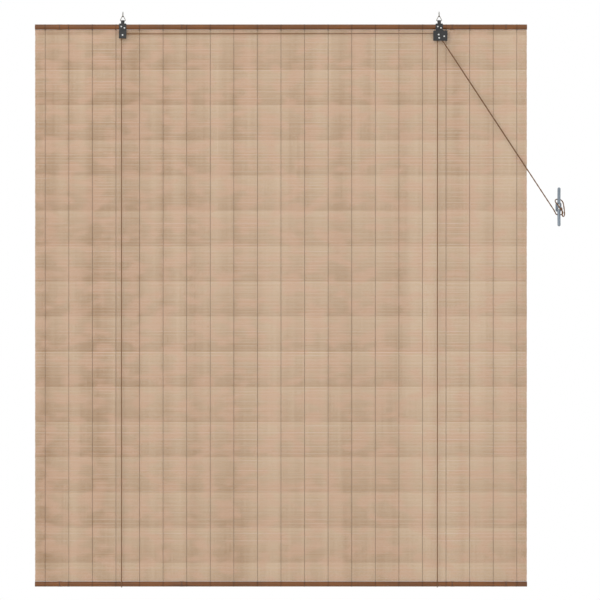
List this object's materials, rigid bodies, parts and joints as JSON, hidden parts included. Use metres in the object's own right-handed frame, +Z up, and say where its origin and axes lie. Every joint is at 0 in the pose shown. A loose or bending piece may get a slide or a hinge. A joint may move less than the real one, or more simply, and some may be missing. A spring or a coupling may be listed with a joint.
{
  "type": "bamboo roll up blind",
  "caption": "Roll up blind of woven bamboo slats between two bamboo poles, hung on hooked brackets, raised by two cords over a lock to a cleat.",
  "frame": {"origin": "middle of the line on which the blind hangs, between the bowls of the two screw hooks", "axes": "+Z up along the blind's drop, +X to the right seen from the room, -Y towards the room"},
  "size_m": [1.5086, 0.0527, 1.6396],
  "materials": {
    "bamboo_slats": "matte",
    "dark_bamboo": "satin",
    "black_steel": "satin",
    "plated_steel": "satin",
    "brass_wire": "satin",
    "zinc": "matte",
    "brown_cord": "matte"
  },
  "bodies": {
    "fixings": {"screw_hooks": "brass_wire", "cleat": "zinc", "cleat_screws": "plated_steel", "pull_cord": "brown_cord"},
    "rail": {"head_rod": "dark_bamboo", "bracket_left": "black_steel", "bracket_right": "black_steel", "bracket_rivets": "plated_steel", "bracket_screws": "plated_steel", "hanging_rings": "brass_wire", "cross_cord": "brown_cord", "lift_cord_left": "brown_cord", "lift_cord_right": "brown_cord", "mat_00": "bamboo_slats"},
    "sheave_left_wheel": {"sheave_left": "plated_steel"},
    "sheave_upper_wheel": {"sheave_upper": "plated_steel"},
    "guide_roller_wheel": {"guide_roller": "plated_steel"},
    "cam": {"lock_cam": "zinc"},
    "band_01": {"mat_01": "bamboo_slats"},
    "band_02": {"mat_02": "bamboo_slats"},
    "band_03": {"mat_03": "bamboo_slats"},
    "band_04": {"mat_04": "bamboo_slats"},
    "band_05": {"mat_05": "bamboo_slats"},
    "band_06": {"mat_06": "bamboo_slats"},
    "band_07": {"mat_07": "bamboo_slats"},
    "band_08": {"mat_08": "bamboo_slats"},
    "band_09": {"mat_09": "bamboo_slats"},
    "band_10": {"mat_10": "bamboo_slats"},
    "band_11": {"mat_11": "bamboo_slats"},
    "band_12": {"mat_12": "bamboo_slats"},
    "band_13": {"mat_13": "bamboo_slats"},
    "band_14": {"mat_14": "bamboo_slats"},
    "band_15": {"mat_15": "bamboo_slats"},
    "band_16": {"mat_16": "bamboo_slats"},
    "band_17": {"mat_17": "bamboo_slats"},
    "band_18": {"mat_18": "bamboo_slats"},
    "band_19": {"mat_19": "bamboo_slats"},
    "band_20": {"mat_20": "bamboo_slats"},
    "band_21": {"mat_21": "bamboo_slats"},
    "band_22": {"mat_22": "bamboo_slats"},
    "band_23": {"mat_23": "bamboo_slats"},
    "band_24": {"mat_24": "bamboo_slats"},
    "band_25": {"mat_25": "bamboo_slats"},
    "band_26": {"mat_26": "bamboo_slats"},
    "band_27": {"mat_27": "bamboo_slats"},
    "band_28": {"mat_28": "bamboo_slats"},
    "band_29": {"mat_29": "bamboo_slats"},
    "band_30": {"mat_30": "bamboo_slats"},
    "band_31": {"mat_31": "bamboo_slats"},
    "band_32": {"mat_32": "bamboo_slats"},
    "band_33": {"mat_33": "bamboo_slats"},
    "band_34": {"mat_34": "bamboo_slats"},
    "band_35": {"mat_35": "bamboo_slats"},
    "band_36": {"mat_36": "bamboo_slats"},
    "band_37": {"mat_37": "bamboo_slats"},
    "band_38": {"mat_38": "bamboo_slats"},
    "band_39": {"mat_39": "bamboo_slats"},
    "band_40": {"mat_40": "bamboo_slats"},
    "band_41": {"mat_41": "bamboo_slats", "bottom_rod": "dark_bamboo"}
  },
  "joints": [
    {"name": "blind_swing", "type": "hinge", "parent": "fixings", "child": "rail", "pos_m": [0, 0, 0], "axis": [-1, 0, 0], "range_deg": [0, 15], "deforming": ["pull_cord"]},
    {"name": "sheave_left_turn", "type": "hinge", "parent": "rail", "child": "sheave_left_wheel", "pos_m": [-0.45, -0.01125, -0.0538], "axis": [0, 1, 0], "continuous": true},
    {"name": "sheave_upper_turn", "type": "hinge", "parent": "rail", "child": "sheave_upper_wheel", "pos_m": [0.4482, -0.01265, -0.0528], "axis": [0, 1, 0], "continuous": true},
    {"name": "guide_roller_turn", "type": "hinge", "parent": "rail", "child": "guide_roller_wheel", "pos_m": [0.44971, -0.01265, -0.0623], "axis": [0, 1, 0], "continuous": true},
    {"name": "cam_turn", "type": "hinge", "parent": "rail", "child": "cam", "pos_m": [0.4639, -0.01265, -0.0575], "axis": [0, -1, 0], "range_deg": [0, 40]},
    {"name": "roll_up", "type": "hinge", "parent": "rail", "child": "band_01", "pos_m": [0, -0.0006, -0.13768], "axis": [-1, 0, 0], "range_deg": [0, 17.8], "deforming": ["lift_cord_left", "lift_cord_right"]},
    {"name": "roll_02", "type": "hinge", "parent": "band_01", "child": "band_02", "pos_m": [0, -0.0006, -0.17761], "axis": [-1, 0, 0], "range_deg": [0, 35.5]},
    {"name": "roll_03", "type": "hinge", "parent": "band_02", "child": "band_03", "pos_m": [0, -0.0006, -0.21754], "axis": [-1, 0, 0], "range_deg": [0, 35.8]},
    {"name": "roll_04", "type": "hinge", "parent": "band_03", "child": "band_04", "pos_m": [0, -0.0006, -0.25747], "axis": [-1, 0, 0], "range_deg": [0, 36.4]},
    {"name": "roll_05", "type": "hinge", "parent": "band_04", "child": "band_05", "pos_m": [0, -0.0006, -0.2974], "axis": [-1, 0, 0], "range_deg": [0, 36.8]},
    {"name": "roll_06", "type": "hinge", "parent": "band_05", "child": "band_06", "pos_m": [0, -0.0006, -0.33733], "axis": [-1, 0, 0], "range_deg": [0, 37.3]},
    {"name": "roll_07", "type": "hinge", "parent": "band_06", "child": "band_07", "pos_m": [0, -0.0006, -0.37727], "axis": [-1, 0, 0], "range_deg": [0, 37.9]},
    {"name": "roll_08", "type": "hinge", "parent": "band_07", "child": "band_08", "pos_m": [0, -0.0006, -0.4172], "axis": [-1, 0, 0], "range_deg": [0, 38.4]},
    {"name": "roll_09", "type": "hinge", "parent": "band_08", "child": "band_09", "pos_m": [0, -0.0006, -0.45713], "axis": [-1, 0, 0], "range_deg": [0, 38.9]},
    {"name": "roll_10", "type": "hinge", "parent": "band_09", "child": "band_10", "pos_m": [0, -0.0006, -0.49706], "axis": [-1, 0, 0], "range_deg": [0, 39.5]},
    {"name": "roll_11", "type": "hinge", "parent": "band_10", "child": "band_11", "pos_m": [0, -0.0006, -0.53699], "axis": [-1, 0, 0], "range_deg": [0, 40.2]},
    {"name": "roll_12", "type": "hinge", "parent": "band_11", "child": "band_12", "pos_m": [0, -0.0006, -0.57692], "axis": [-1, 0, 0], "range_deg": [0, 40.8]},
    {"name": "roll_13", "type": "hinge", "parent": "band_12", "child": "band_13", "pos_m": [0, -0.0006, -0.61685], "axis": [-1, 0, 0], "range_deg": [0, 41.5]},
    {"name": "roll_14", "type": "hinge", "parent": "band_13", "child": "band_14", "pos_m": [0, -0.0006, -0.65678], "axis": [-1, 0, 0], "range_deg": [0, 42.3]},
    {"name": "roll_15", "type": "hinge", "parent": "band_14", "child": "band_15", "pos_m": [0, -0.0006, -0.69672], "axis": [-1, 0, 0], "range_deg": [0, 43.1]},
    {"name": "roll_16", "type": "hinge", "parent": "band_15", "child": "band_16", "pos_m": [0, -0.0006, -0.73665], "axis": [-1, 0, 0], "range_deg": [0, 43.9]},
    {"name": "roll_17", "type": "hinge", "parent": "band_16", "child": "band_17", "pos_m": [0, -0.0006, -0.77658], "axis": [-1, 0, 0], "range_deg": [0, 44.8]},
    {"name": "roll_18", "type": "hinge", "parent": "band_17", "child": "band_18", "pos_m": [0, -0.0006, -0.81651], "axis": [-1, 0, 0], "range_deg": [0, 45.8]},
    {"name": "roll_19", "type": "hinge", "parent": "band_18", "child": "band_19", "pos_m": [0, -0.0006, -0.85644], "axis": [-1, 0, 0], "range_deg": [0, 46.9]},
    {"name": "roll_20", "type": "hinge", "parent": "band_19", "child": "band_20", "pos_m": [0, -0.0006, -0.89637], "axis": [-1, 0, 0], "range_deg": [0, 48]},
    {"name": "roll_21", "type": "hinge", "parent": "band_20", "child": "band_21", "pos_m": [0, -0.0006, -0.9363], "axis": [-1, 0, 0], "range_deg": [0, 49.3]},
    {"name": "roll_22", "type": "hinge", "parent": "band_21", "child": "band_22", "pos_m": [0, -0.0006, -0.97623], "axis": [-1, 0, 0], "range_deg": [0, 50.7]},
    {"name": "roll_23", "type": "hinge", "parent": "band_22", "child": "band_23", "pos_m": [0, -0.0006, -1.01617], "axis": [-1, 0, 0], "range_deg": [0, 52.2]},
    {"name": "roll_24", "type": "hinge", "parent": "band_23", "child": "band_24", "pos_m": [0, -0.0006, -1.0561], "axis": [-1, 0, 0], "range_deg": [0, 54]},
    {"name": "roll_25", "type": "hinge", "parent": "band_24", "child": "band_25", "pos_m": [0, -0.0006, -1.09603], "axis": [-1, 0, 0], "range_deg": [0, 55.8]},
    {"name": "roll_26", "type": "hinge", "parent": "band_25", "child": "band_26", "pos_m": [0, -0.0006, -1.13596], "axis": [-1, 0, 0], "range_deg": [0, 58]},
    {"name": "roll_27", "type": "hinge", "parent": "band_26", "child": "band_27", "pos_m": [0, -0.0006, -1.17589], "axis": [-1, 0, 0], "range_deg": [0, 60.6]},
    {"name": "roll_28", "type": "hinge", "parent": "band_27", "child": "band_28", "pos_m": [0, -0.0006, -1.21582], "axis": [-1, 0, 0], "range_deg": [0, 63.5]},
    {"name": "roll_29", "type": "hinge", "parent": "band_28", "child": "band_29", "pos_m": [0, -0.0006, -1.25575], "axis": [-1, 0, 0], "range_deg": [0, 63]},
    {"name": "roll_30", "type": "hinge", "parent": "band_29", "child": "band_30", "pos_m": [0, -0.0006, -1.29169], "axis": [-1, 0, 0], "range_deg": [0, 62.7]},
    {"name": "roll_31", "type": "hinge", "parent": "band_30", "child": "band_31", "pos_m": [0, -0.0006, -1.32763], "axis": [-1, 0, 0], "range_deg": [0, 66.3]},
    {"name": "roll_32", "type": "hinge", "parent": "band_31", "child": "band_32", "pos_m": [0, -0.0006, -1.36357], "axis": [-1, 0, 0], "range_deg": [0, 70.7]},
    {"name": "roll_33", "type": "hinge", "parent": "band_32", "child": "band_33", "pos_m": [0, -0.0006, -1.39951], "axis": [-1, 0, 0], "range_deg": [0, 76.6]},
    {"name": "roll_34", "type": "hinge", "parent": "band_33", "child": "band_34", "pos_m": [0, -0.0006, -1.43545], "axis": [-1, 0, 0], "range_deg": [0, 84.9]},
    {"name": "roll_35", "type": "hinge", "parent": "band_34", "child": "band_35", "pos_m": [0, -0.0006, -1.47138], "axis": [-1, 0, 0], "range_deg": [0, 89.1]},
    {"name": "roll_36", "type": "hinge", "parent": "band_35", "child": "band_36", "pos_m": [0, -0.0006, -1.50333], "axis": [-1, 0, 0], "range_deg": [0, 87.3]},
    {"name": "roll_37", "type": "hinge", "parent": "band_36", "child": "band_37", "pos_m": [0, -0.0006, -1.53128], "axis": [-1, 0, 0], "range_deg": [0, 83.4]},
    {"name": "roll_38", "type": "hinge", "parent": "band_37", "child": "band_38", "pos_m": [0, -0.0006, -1.55524], "axis": [-1, 0, 0], "range_deg": [0, 77.1]},
    {"name": "roll_39", "type": "hinge", "parent": "band_38", "child": "band_39", "pos_m": [0, -0.0006, -1.5752], "axis": [-1, 0, 0], "range_deg": [0, 67.8]},
    {"name": "roll_40", "type": "hinge", "parent": "band_39", "child": "band_40", "pos_m": [0, -0.0006, -1.59118], "axis": [-1, 0, 0], "range_deg": [0, 55.7]},
    {"name": "roll_41", "type": "hinge", "parent": "band_40", "child": "band_41", "pos_m": [0, -0.0006, -1.60316], "axis": [-1, 0, 0], "range_deg": [0, 95]}
  ],
  "couplings": [
    {"joint": "roll_02", "follows": "roll_up", "ratio": 1.9944},
    {"joint": "roll_03", "follows": "roll_up", "ratio": 2.0112},
    {"joint": "roll_04", "follows": "roll_up", "ratio": 2.0449},
    {"joint": "roll_05", "follows": "roll_up", "ratio": 2.0674},
    {"joint": "roll_06", "follows": "roll_up", "ratio": 2.0955},
    {"joint": "roll_07", "follows": "roll_up", "ratio": 2.1292},
    {"joint": "roll_08", "follows": "roll_up", "ratio": 2.1573},
    {"joint": "roll_09", "follows": "roll_up", "ratio": 2.1854},
    {"joint": "roll_10", "follows": "roll_up", "ratio": 2.2191},
    {"joint": "roll_11", "follows": "roll_up", "ratio": 2.2584},
    {"joint": "roll_12", "follows": "roll_up", "ratio": 2.2921},
    {"joint": "roll_13", "follows": "roll_up", "ratio": 2.3315},
    {"joint": "roll_14", "follows": "roll_up", "ratio": 2.3764},
    {"joint": "roll_15", "follows": "roll_up", "ratio": 2.4213},
    {"joint": "roll_16", "follows": "roll_up", "ratio": 2.4663},
    {"joint": "roll_17", "follows": "roll_up", "ratio": 2.5169},
    {"joint": "roll_18", "follows": "roll_up", "ratio": 2.573},
    {"joint": "roll_19", "follows": "roll_up", "ratio": 2.6348},
    {"joint": "roll_20", "follows": "roll_up", "ratio": 2.6966},
    {"joint": "roll_21", "follows": "roll_up", "ratio": 2.7697},
    {"joint": "roll_22", "follows": "roll_up", "ratio": 2.8483},
    {"joint": "roll_23", "follows": "roll_up", "ratio": 2.9326},
    {"joint": "roll_24", "follows": "roll_up", "ratio": 3.0337},
    {"joint": "roll_25", "follows": "roll_up", "ratio": 3.1348},
    {"joint": "roll_26", "follows": "roll_up", "ratio": 3.2584},
    {"joint": "roll_27", "follows": "roll_up", "ratio": 3.4045},
    {"joint": "roll_28", "follows": "roll_up", "ratio": 3.5674},
    {"joint": "roll_29", "follows": "roll_up", "ratio": 3.5393},
    {"joint": "roll_30", "follows": "roll_up", "ratio": 3.5225},
    {"joint": "roll_31", "follows": "roll_up", "ratio": 3.7247},
    {"joint": "roll_32", "follows": "roll_up", "ratio": 3.9719},
    {"joint": "roll_33", "follows": "roll_up", "ratio": 4.3034},
    {"joint": "roll_34", "follows": "roll_up", "ratio": 4.7697},
    {"joint": "roll_35", "follows": "roll_up", "ratio": 5.0056},
    {"joint": "roll_36", "follows": "roll_up", "ratio": 4.9045},
    {"joint": "roll_37", "follows": "roll_up", "ratio": 4.6854},
    {"joint": "roll_38", "follows": "roll_up", "ratio": 4.3315},
    {"joint": "roll_39", "follows": "roll_up", "ratio": 3.809},
    {"joint": "roll_40", "follows": "roll_up", "ratio": 3.1292},
    {"joint": "roll_41", "follows": "roll_up", "ratio": 5.3371}
  ]
}
